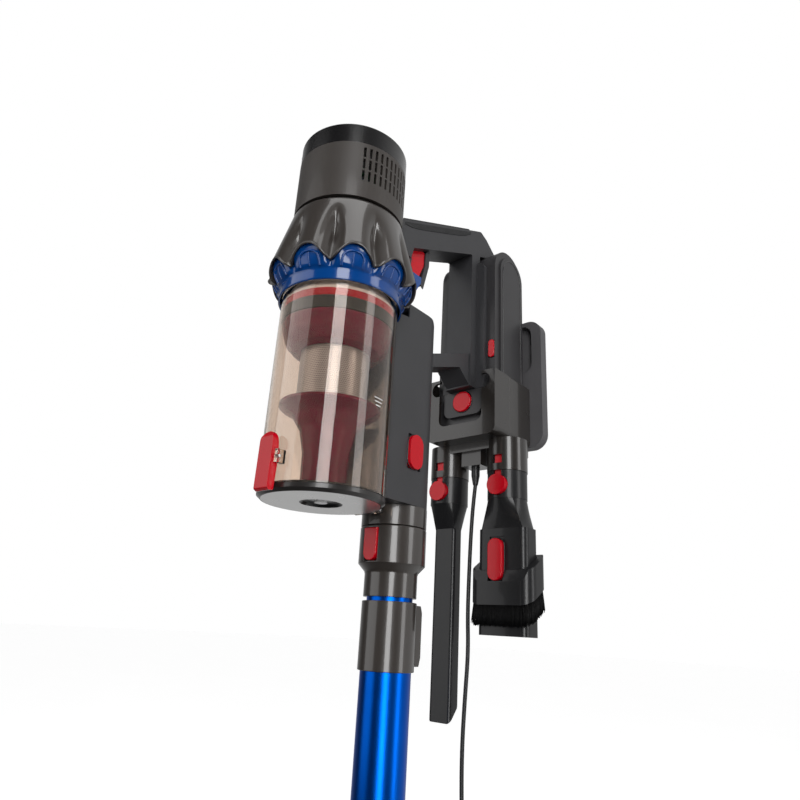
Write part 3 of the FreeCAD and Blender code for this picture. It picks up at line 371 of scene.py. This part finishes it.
def smooth_and_bevel(piece, width, angle=28):
    """Rounds the edges that are sharper than an angle, and keeps flat faces flat."""
    weld = piece.modifiers.new("weld", "WELD")
    weld.merge_threshold = 0.001 * MM
    if width:
        bevel = piece.modifiers.new("soft_edges", "BEVEL")
        bevel.width, bevel.segments = width, 3
        bevel.limit_method, bevel.angle_limit = "ANGLE", math.radians(angle)
        bevel.use_clamp_overlap = True
    piece.data.shade_smooth()
    normals = piece.modifiers.new("even_normals", "WEIGHTED_NORMAL")
    normals.keep_sharp = True


dress_cad_nodes()


# ---------------------------------------------------------------- building blocks

def piece_from(name, verts, faces, body, material, smooth=True):
    """A mesh piece that rides on a body."""
    mesh = bpy.data.meshes.new(name)
    mesh.from_pydata([tuple(v) for v in verts], [], faces)
    mesh.update()
    if smooth:
        mesh.shade_smooth()
    made = bpy.data.objects.new(name, mesh)
    bpy.context.scene.collection.objects.link(made)
    mesh.materials.append(MATS[material])
    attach(made, body)
    return made


def wrapped(name, point, columns, rows, body, material, thick):
    """A closed ring of quads: point(angle, share of the height), made solid inwards."""
    verts, faces = [], []
    for row in range(rows + 1):
        for column in range(columns):
            verts.append(point(2 * math.pi * column / columns, row / rows))
    for row in range(rows):
        for column in range(columns):
            here, after = row * columns + column, row * columns + (column + 1) % columns
            faces.append((here, after, after + columns, here + columns))
    made = piece_from(name, verts, faces, body, material)
    solid = made.modifiers.new("wall", "SOLIDIFY")
    solid.thickness, solid.offset = thick, -1
    return made


def wire(name, points, radius, body, material, closed=False, sides=3):
    """A round rod along smooth points."""
    curve = bpy.data.curves.new(name, "CURVE")
    curve.dimensions = "3D"
    curve.bevel_depth, curve.bevel_resolution = radius, sides
    curve.use_fill_caps = True
    spline = curve.splines.new("NURBS")
    spline.points.add(len(points) - 1)
    for spot, point in zip(spline.points, points):
        spot.co = (*point, 1)
    spline.order_u = 3
    spline.use_endpoint_u = not closed
    spline.use_cyclic_u = closed
    curve.materials.append(MATS[material])
    made = bpy.data.objects.new(name, curve)
    bpy.context.scene.collection.objects.link(made)
    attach(made, body)
    return made


def polar(centre, angle, radius, height):
    """The point at an angle and a radius round an upright axis."""
    return Vector((centre.x + radius * math.cos(angle), centre.y + radius * math.sin(angle), height))


# ---------------------------------------------------------------- charging cable

# The given route of the CAD lead, from the plug down to the coil on the floor.
CABLE_ROUTE = (
    (0, -0.053, -0.122), (-0.0022, -0.0535, -0.142), (-0.0049, -0.053, -0.178),
    (-0.0069, -0.0522, -0.222), (-0.0076, -0.052, -0.252), (-0.0059, -0.0524, -0.286),
    (-0.0086, -0.0528, -0.326), (-0.0116, -0.052, -0.372), (-0.0114, -0.0506, -0.424),
    (-0.0082, -0.05, -0.478), (-0.0064, -0.0508, -0.534), (-0.0084, -0.052, -0.59),
    (-0.0118, -0.0526, -0.646), (-0.0126, -0.0516, -0.702), (-0.0104, -0.0502, -0.756),
    (-0.0094, -0.0488, -0.802), (-0.0125, -0.0472, -0.832), (-0.023, -0.0456, -0.854),
    (-0.044, -0.044, -0.8628), (-0.064, -0.039, -0.863), (-0.080, -0.027, -0.863),
)
WIRE = 2 * MM  # radius of the lead
TURN_RISE = 2.02 * WIRE
# Radius, number of turns and rise per turn (in turns of TURN_RISE) of each column of the coil.
COIL_COLUMNS = ((26 * MM, 3, 1), (21.9 * MM, 3, -1), (17.8 * MM, 1.25, 2.75))


def coil_points(centre, start_angle, low):
    """Three nested columns of turns: up the outer, down the middle, up the inner one."""
    per_turn, ease, points = 16, 6, []
    angle, height, before = start_angle, low, COIL_COLUMNS[0][0]
    for radius, turns, rise in COIL_COLUMNS:
        for step in range(int(turns * per_turn)):
            reach = before + (radius - before) * min(1, step / ease)
            points.append(polar(centre, angle, reach, height))
            angle += 2 * math.pi / per_turn
            height += rise * TURN_RISE / per_turn
        before = radius
    return points, angle


def make_coil_tie(centre):
    """A closed band round the coil's section, with squarish corners."""
    hold = math.radians(200)
    reach, across_half, up_half, middle, square = 22, 7.6, 6.2, 7.6, 0.6
    loop = []
    for step in range(16):
        turn = 2 * math.pi * step / 16
        across = math.copysign(abs(math.cos(turn)) ** square, math.cos(turn))
        along = math.copysign(abs(math.sin(turn)) ** square, math.sin(turn))
        loop.append(polar(centre, hold, (reach + across_half * across) * MM,
                          FLOOR + (middle + up_half * along) * MM))
    return wire("coil_tie", loop, 1.2 * MM, "dock", "cable_black", closed=True)


def make_cable():
    """The free lead: down to the floor, round the coil and into the wall adapter."""
    centre = (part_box("cable_coil")[0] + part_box("cable_coil")[1]) / 2
    turns, angle = coil_points(centre, math.radians(32), FLOOR + WIRE + 0.1 * MM)
    over = FLOOR + 19 * MM
    adapter_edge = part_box("power_adapter")[1].x
    leave = polar(centre, angle, COIL_COLUMNS[-1][0], 0)
    onward = Vector((-math.sin(angle), math.cos(angle), 0))
    exit_tail = [leave + onward * run + Vector((0, 0, over + lift))
                 for run, lift in ((3 * MM, -1.8 * MM), (10 * MM, 0), (19 * MM, 0.5 * MM))]
    exit_tail.append(Vector((adapter_edge + 0.5 * MM, centre.y, over)))
    cable = wire("charging_lead", [Vector(p) for p in CABLE_ROUTE] + turns + exit_tail, WIRE,
                 "dock", "cable_black", sides=4)
    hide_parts("charging_cable", "cable_coil")
    entry = Vector((adapter_edge - 1 * MM, centre.y, over))
    relief = wire("adapter_relief", [entry, entry + Vector((4 * MM, 0, 0)), entry + Vector((8 * MM, 0, 0))],
                  3.4 * MM, "dock", "cable_black")
    tie = make_coil_tie(centre)
    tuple(CABLE_ROUTE[0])


make_cable()


# ---------------------------------------------------------------- fluted cyclone cover

LOBES = 10
COVER_TOP = 67 * MM


def ridge(angle):
    """1 on the middle of a lobe and 0 in the groove between two."""
    return abs(math.cos(LOBES / 2 * angle))


def smoothstep(low, high, x):
    """0 at low and 1 at high, with a level start and end."""
    t = min(1.0, max(0.0, (x - low) / (high - low)))
    return t * t * (3 - 2 * t)


def cover_radius(angle, height):
    """A cone that widens downwards, with grooves that deepen from near its top."""
    top_radius, widening, groove_depth, ridge_width = 50.3 * MM, 17.6 / 64, 10.5 * MM, 1.7
    cone = top_radius + (COVER_TOP - height) * widening
    groove = groove_depth * smoothstep(63 * MM, 20 * MM, height)
    return cone - groove * (1 - ridge(angle)) ** ridge_width


def cover_edge(angle):
    """Height of the scalloped lower edge."""
    wave = 1 - (1 - ridge(angle) ** 2) ** 1.3
    return (2.5 + 12.5 * wave) * MM


def make_cover():
    """The fluted cover, and a round lip along its scalloped edge."""
    def point(angle, share):
        low = cover_edge(angle)
        height = low + (COVER_TOP - low) * share
        return polar(BIN_AXIS, angle, cover_radius(angle, height), height)
    cover = wrapped("fluted_cover", point, 240, 28, "unit", "shell_gloss", 1.6 * MM)
    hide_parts("cyclone_cover")
    edge = [polar(BIN_AXIS, a, cover_radius(a, cover_edge(a)) - 0.6 * MM, cover_edge(a))
            for a in (2 * math.pi * step / 240 for step in range(240))]
    wire("cover_lip", edge, 0.9 * MM, "unit", "shell_gloss", closed=True)


def make_blue_ring():
    """A ring that swells out under each lobe of the cover, with an arch and a rib on each."""
    band, low, knee, straight = 53.2 * MM, -12.5 * MM, -2.4 * MM, 0.25

    def top(angle):
        return cover_edge(angle) + 2.5 * MM

    def swell(angle, rise):
        """Radius at a share of the way from the knee up to the top."""
        wide = cover_radius(angle, top(angle)) - 2.2 * MM
        return band + (wide - band) * rise ** (0.75 - 0.3 * ridge(angle))

    def point(angle, share):
        if share < straight:
            return polar(BIN_AXIS, angle, band, low + (knee - low) * share / straight)
        rise = (share - straight) / (1 - straight)
        return polar(BIN_AXIS, angle, swell(angle, rise), knee + (top(angle) - knee) * rise)
    ring = wrapped("scalloped_ring", point, 240, 24, "unit", "ring_blue", 1.5 * MM)
    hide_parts("cyclone_ring")

    def on_ring(angle, height, proud):
        rise = max(0.0, (height - knee) / (top(angle) - knee))
        return polar(BIN_AXIS, angle, swell(angle, rise) + proud, height)
    for lobe in range(LOBES):
        middle = 2 * math.pi * lobe / LOBES
        arch = []
        for step in range(17):
            turn = math.pi * step / 16
            arch.append(on_ring(middle + math.radians(9.0) * math.cos(turn),
                                (-1.5 + 11.5 * math.sin(turn) ** 0.6) * MM, 0.4 * MM))
        wire("ring_arch_%d" % lobe, arch, 1.0 * MM, "unit", "ring_blue")
        rib = [on_ring(middle, height * MM, 0.3 * MM) for height in (-1.5, 1, 3.5, 6, 8.5)]
        wire("ring_rib_%d" % lobe, rib, 0.55 * MM, "unit", "ring_blue")


make_cover()
make_blue_ring()


# ---------------------------------------------------------------- small details

def stadium(centre, half_wide, half_tall, axis, corner):
    """Points of a rounded outline that faces along X or Y, round a centre."""
    points = []
    for step in range(32):
        turn = 2 * math.pi * step / 32
        across = math.copysign(half_wide - corner, math.cos(turn)) + corner * math.cos(turn)
        along = math.copysign(half_tall - corner, math.sin(turn)) + corner * math.sin(turn)
        shift = Vector((0, across, along)) if axis == "x" else Vector((across, 0, along))
        points.append(Vector(centre) + shift)
    return points


def make_button_rims():
    """A thin dark gap line round each button."""
    # Node, body, the way it faces, and its plane, gap and corner radius in millimetres.
    rims = (("bin_release_button", "unit", "x", 28.15, 0.6, 9.0),
            ("slider_button", "brush", "y", -62.7, 0.6, 8.0),
            ("battery_release_button", "battery", "y", -80.1, 0.5, 11.7),
            ("power_button", "battery", "y", -74.1, 0.35, 3.6))
    for name, body, axis, plane, gap, corner in rims:
        low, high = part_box(name)
        centre = (low + high) / 2
        half_wide = (high.y - low.y if axis == "x" else high.x - low.x) / 2
        setattr(centre, axis, plane * MM)
        line = stadium(centre, half_wide + gap * MM, (high.z - low.z) / 2 + gap * MM, axis, corner * MM)
        wire(name + "_rim", line, 0.45 * MM, body, "cap_black", closed=True)


def make_fill_marks():
    """Three short plain level marks on the bin's wall."""
    for line, (height, reach) in enumerate(((-102.5, 5.5), (-105.5, 4.5), (-108.5, 3.2))):
        verts, faces = [], []
        for step in range(9):
            angle = math.radians(4 + reach * (step / 4 - 1))
            for radius, rise in ((50.0, -0.35), (50.0, 0.35), (50.2, 0.35), (50.2, -0.35)):
                verts.append(polar(BIN_AXIS, angle, radius * MM, (height + rise) * MM))
        for step in range(8):
            for side in range(4):
                here, after = 4 * step + side, 4 * step + (side + 1) % 4
                faces.append((here, after, after + 4, here + 4))
        faces += [(3, 2, 1, 0), (32, 33, 34, 35)]
        piece_from("fill_mark_%d" % line, verts, faces, "bin", "mark_white", smooth=False)


def make_battery_trim():
    """A fine line round each raised side panel of the battery."""
    low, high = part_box("battery_side_panels")
    inset, radius = 4.5 * MM, (high.y - low.y) / 2
    middle, crown = (high.y + low.y) / 2, high.z - (high.y - low.y) / 2
    for side, face in (("left", low.x), ("right", high.x)):
        outline = [Vector((face, low.y + inset, low.z + share * (crown - low.z)))
                   for share in (0.0, 0.25, 0.5, 0.75)]
        for step in range(13):
            turn = math.pi - math.pi * step / 12
            outline.append(Vector((face, middle + (radius - inset) * math.cos(turn),
                                   crown + (radius - inset) * math.sin(turn))))
        outline += [Vector((face, high.y - inset, low.z + share * (crown - low.z)))
                    for share in (0.75, 0.5, 0.25, 0.0)]
        wire("battery_panel_line_" + side, outline, 0.5 * MM, "battery", "cap_black")


def make_cap_vents():
    """Fine crossed slits at the cap's left end, drawn as thin black rods whose black is painted shade inside the
    slits.
    """
    for way in (-1, 1):
        for step in range(7):
            start = math.radians(-158 + 4.2 * step)
            lean = math.radians(2.6) * way
            line = [polar(BIN_AXIS, start + lean * share, 49.32 * MM, (131 + 11 * (share + 1) / 2) * MM)
                    for share in (-1, -0.33, 0.33, 1)]
            wire("cap_vent_%s_%d" % ("up" if way > 0 else "down", step), line, 0.22 * MM, "cap",
                 "bristle_black")


def make_grip_sides():
    """The grip's soft cover wraps over its two top edges."""
    for side in (-1, 1):
        verts, faces = [], []
        for step in range(13):
            share = step / 12
            y, z = -0.2075 + 0.1135 * share, 0.1095 + 0.0535 * share
            fade = 1 - 0.5 * abs(2 * share - 1) ** 6
            for x, drop in ((15.9, 0.4), (16.55, 0.9), (16.55, 7.6 * fade), (15.9, 8.2 * fade)):
                verts.append((side * x * MM, y, z - drop * MM))
        for step in range(12):
            for edge in range(4):
                here, after = 4 * step + edge, 4 * step + (edge + 1) % 4
                quad = (here, here + 4, after + 4, after)
                faces.append(quad if side > 0 else quad[::-1])
        faces += [(0, 1, 2, 3), (51, 50, 49, 48)]
        made = piece_from("grip_side_%s" % ("right" if side > 0 else "left"), verts, faces, "unit",
                          "grip", smooth=False)
        soften(made, 0.25 * MM)


def make_trigger_spring():
    """The trigger's return spring, as a copy of the CAD spring that rides on the unit."""
    mesh = nodes["trigger_spring"].data.copy()
    mesh.name = "trigger_coil"
    coil = bpy.data.objects.new("trigger_coil", mesh)
    bpy.context.scene.collection.objects.link(coil)
    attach(coil, "unit")
    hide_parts("trigger_spring")
    low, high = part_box("trigger_spring")
    pull = next(joint for joint in frame["joints"] if joint["name"] == "trigger_pull")
    keep = 1 - max(pull.get("range_m", (0, 0.005))) / (high.z - low.z)
    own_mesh(coil)


def make_head_trim():
    """A soft bumper round the floor head's sides and its two round front corners."""
    low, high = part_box("head_housing")
    inset, corner, level, back = 0.6 * MM, 12 * MM, low.z + 9 * MM, high.y - 20 * MM
    halves = []
    for side, edge in ((-1, low.x), (1, high.x)):
        half = [Vector((edge - side * inset, back, level))]
        for step in range(7):
            turn = math.pi / 2 * step / 6
            half.append(Vector((edge - side * corner, low.y + corner, level)) + (corner - inset)
                        * Vector((side * math.cos(turn), -math.sin(turn), 0)))
        halves.append(half)
    wire("head_bumper", halves[0] + halves[1][::-1], 2.2 * MM, "head", "rubber_dark")


def soften(piece, width):
    """Rounds the sharp edges of a made piece."""
    bevel = piece.modifiers.new("soft_edges", "BEVEL")
    bevel.width, bevel.segments = width, 2
    bevel.limit_method, bevel.angle_limit = "ANGLE", math.radians(35)


make_button_rims()
make_fill_marks()
make_battery_trim()
make_cap_vents()
make_grip_sides()
make_trigger_spring()
make_head_trim()


# ---------------------------------------------------------------- bristles

def strands(name, roots, body, material, thick):
    """Many thin tapering fibres in one mesh, each from its root to its tip."""
    verts, faces = [], []
    for root, tip in roots:
        along = (tip - root).normalized()
        side = along.orthogonal().normalized()
        other = along.cross(side)
        first = len(verts)
        for centre, radius in ((root, thick), (root.lerp(tip, 0.6), thick * 0.95), (tip, thick * 0.6)):
            for turn in range(3):
                angle = 2 * math.pi * turn / 3
                verts.append(centre + radius * (math.cos(angle) * side + math.sin(angle) * other))
        for level in (0, 3):
            for turn in range(3):
                here, after = first + level + turn, first + level + (turn + 1) % 3
                faces.append((here, after, after + 3, here + 3))
        faces += [(first + 2, first + 1, first), (first + 6, first + 7, first + 8)]
    return piece_from(name, verts, faces, body, material)


def make_brush_bristles():
    """Dense bristles below the slanted skirt of the combination tool."""
    chance = random.Random(11)
    low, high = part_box("brush_bristles")
    centre = (low + high) / 2
    half = (high - low) / 2
    bend, slope, root_low, fibres = 11 * MM, 19.8 * MM, -241.0 * MM, 2300
    roots = []
    while len(roots) < fibres:
        across, along = chance.uniform(-1, 1), chance.uniform(-1, 1)
        x, y = across * half.x, along * half.y
        inner = abs(x) < half.x - 4.8 * MM and abs(y) < half.y - 3.0 * MM
        corner = max(0, abs(x) - half.x + bend) ** 2 + max(0, abs(y) - half.y + bend) ** 2
        if inner or corner > bend ** 2:
            continue
        top = root_low + slope * (along + 1) / 2
        length = (19.5 + chance.uniform(-1.6, 1.2)) * MM
        flare = Vector((1.4 * across, 1.2 * along, 0)) * MM
        tip = Vector((chance.gauss(0, 0.5), chance.gauss(0, 0.5), 0)) * MM + flare
        root = Vector((centre.x + x, centre.y + y, top))
        roots.append((root, root + tip - Vector((0, 0, length))))
    made = strands("tool_bristles", roots, "brush", "bristle_black", 0.5 * MM)
    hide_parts("brush_bristles")


def make_roller_bristles():
    """Tufts in spiral rows round the roller of the floor head."""
    chance = random.Random(5)
    low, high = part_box("brush_roller")
    axis = (low + high) / 2
    rows, tufts, fibres, half_length, twist = 4, 46, 7, 113 * MM, 2.2
    roots = []
    for row in range(rows):
        for tuft in range(tufts):
            share = tuft / (tufts - 1)
            x = half_length * (2 * share - 1)
            turn = 2 * math.pi * row / rows + twist * abs(share - 0.5) * 2
            for _ in range(fibres):
                angle = turn + chance.uniform(-0.09, 0.09)
                shift = x + chance.uniform(-1.6, 1.6) * MM
                out = Vector((0, math.cos(angle), math.sin(angle)))
                root = Vector((shift, axis.y, axis.z)) + out * 13.5 * MM
                roots.append((root, root + out * (6.2 + chance.uniform(-0.4, 0)) * MM))
    strands("roller_bristles", roots, "roller", "bristle_black", 0.35 * MM)


make_brush_bristles()
make_roller_bristles()


# ---------------------------------------------------------------- floor and light

def make_stage():
    """A wide pale floor that glows a little, so that it stays even."""
    mesh = bpy.data.meshes.new("floor")
    size = 30.0
    corners = [(-size, -size, FLOOR), (size, -size, FLOOR), (size, size, FLOOR), (-size, size, FLOOR)]
    mesh.from_pydata(corners, [], [(0, 1, 2, 3)])
    floor = bpy.data.objects.new("floor", mesh)
    bpy.context.scene.collection.objects.link(floor)
    shader = Nodes("pale_floor")
    tone = shader.ramp(shader.noise(0.5, 2), (0.3, (0.86, 0.86, 0.86)), (0.7, (0.9, 0.9, 0.9)))
    shader.feed(Base_Color=tone, Roughness=0.9, Emission_Color=(1, 1, 1, 1), Emission_Strength=0.78)
    mesh.materials.append(shader.material)
    floor.visible_diffuse = floor.visible_glossy = False


def softbox(name, place, aim, wide, tall, power):
    """An upright or lying rectangle of light that faces a point."""
    data = bpy.data.lights.new(name, "AREA")
    data.shape, data.size, data.size_y = "RECTANGLE", wide, tall
    data.energy = power
    light = bpy.data.objects.new(name, data)
    light.location = place
    light.rotation_euler = (Vector(aim) - Vector(place)).to_track_quat("-Z", "Y").to_euler()
    bpy.context.scene.collection.objects.link(light)


def make_world():
    """A room that is dark behind the camera for reflections, and white to look at or through."""
    world = bpy.data.worlds.new("studio")
    bpy.context.scene.world = world
    world.use_nodes = True
    tree = world.node_tree
    tree.nodes.clear()
    way = tree.nodes.new("ShaderNodeTexCoord")
    split = tree.nodes.new("ShaderNodeSeparateXYZ")
    tree.links.new(way.outputs["Generated"], split.inputs[0])
    ramp = tree.nodes.new("ShaderNodeValToRGB")
    ends = ramp.color_ramp.elements
    ends[0].position, ends[0].color = 0.35, (0.05, 0.05, 0.052, 1)
    ends[1].position, ends[1].color = 0.80, (1.0, 1.0, 1.0, 1)
    lift = tree.nodes.new("ShaderNodeMapRange")
    lift.inputs["From Min"].default_value = -1
    tree.links.new(split.outputs["Y"], lift.inputs["Value"])
    tree.links.new(lift.outputs["Result"], ramp.inputs["Fac"])
    room = tree.nodes.new("ShaderNodeBackground")
    tree.links.new(ramp.outputs["Color"], room.inputs["Color"])
    room.inputs["Strength"].default_value = 0.5
    white = tree.nodes.new("ShaderNodeBackground")
    white.inputs["Color"].default_value = (1, 1, 1, 1)
    white.inputs["Strength"].default_value = 1.0
    path = tree.nodes.new("ShaderNodeLightPath")
    seen = tree.nodes.new("ShaderNodeMath")
    seen.operation = "MAXIMUM"
    tree.links.new(path.outputs["Is Camera Ray"], seen.inputs[0])
    tree.links.new(path.outputs["Is Transmission Ray"], seen.inputs[1])
    mix = tree.nodes.new("ShaderNodeMixShader")
    tree.links.new(seen.outputs[0], mix.inputs["Fac"])
    tree.links.new(room.outputs[0], mix.inputs[1])
    tree.links.new(white.outputs[0], mix.inputs[2])
    out = tree.nodes.new("ShaderNodeOutputWorld")
    tree.links.new(mix.outputs[0], out.inputs["Surface"])


def make_lights():
    """A tall strip on each side of the camera, a fill from above and a strip by the wall."""
    aim = (0, -0.2, -0.1)
    softbox("strip_front", (1.20, -1.41, 0.1), aim, 0.6, 2.4, 29)
    softbox("wall_left", (-1.0, -1.8, 0.3), aim, 1.6, 2.2, 14)
    softbox("fill_top", (0.3, -0.6, 1.8), aim, 1.4, 1.0, 8)
    softbox("strip_right", (1.7, 0.25, 0.1), aim, 0.5, 2.0, 9)


bpy.context.scene.view_settings.view_transform = "Standard"
make_stage()
make_world()
make_lights()
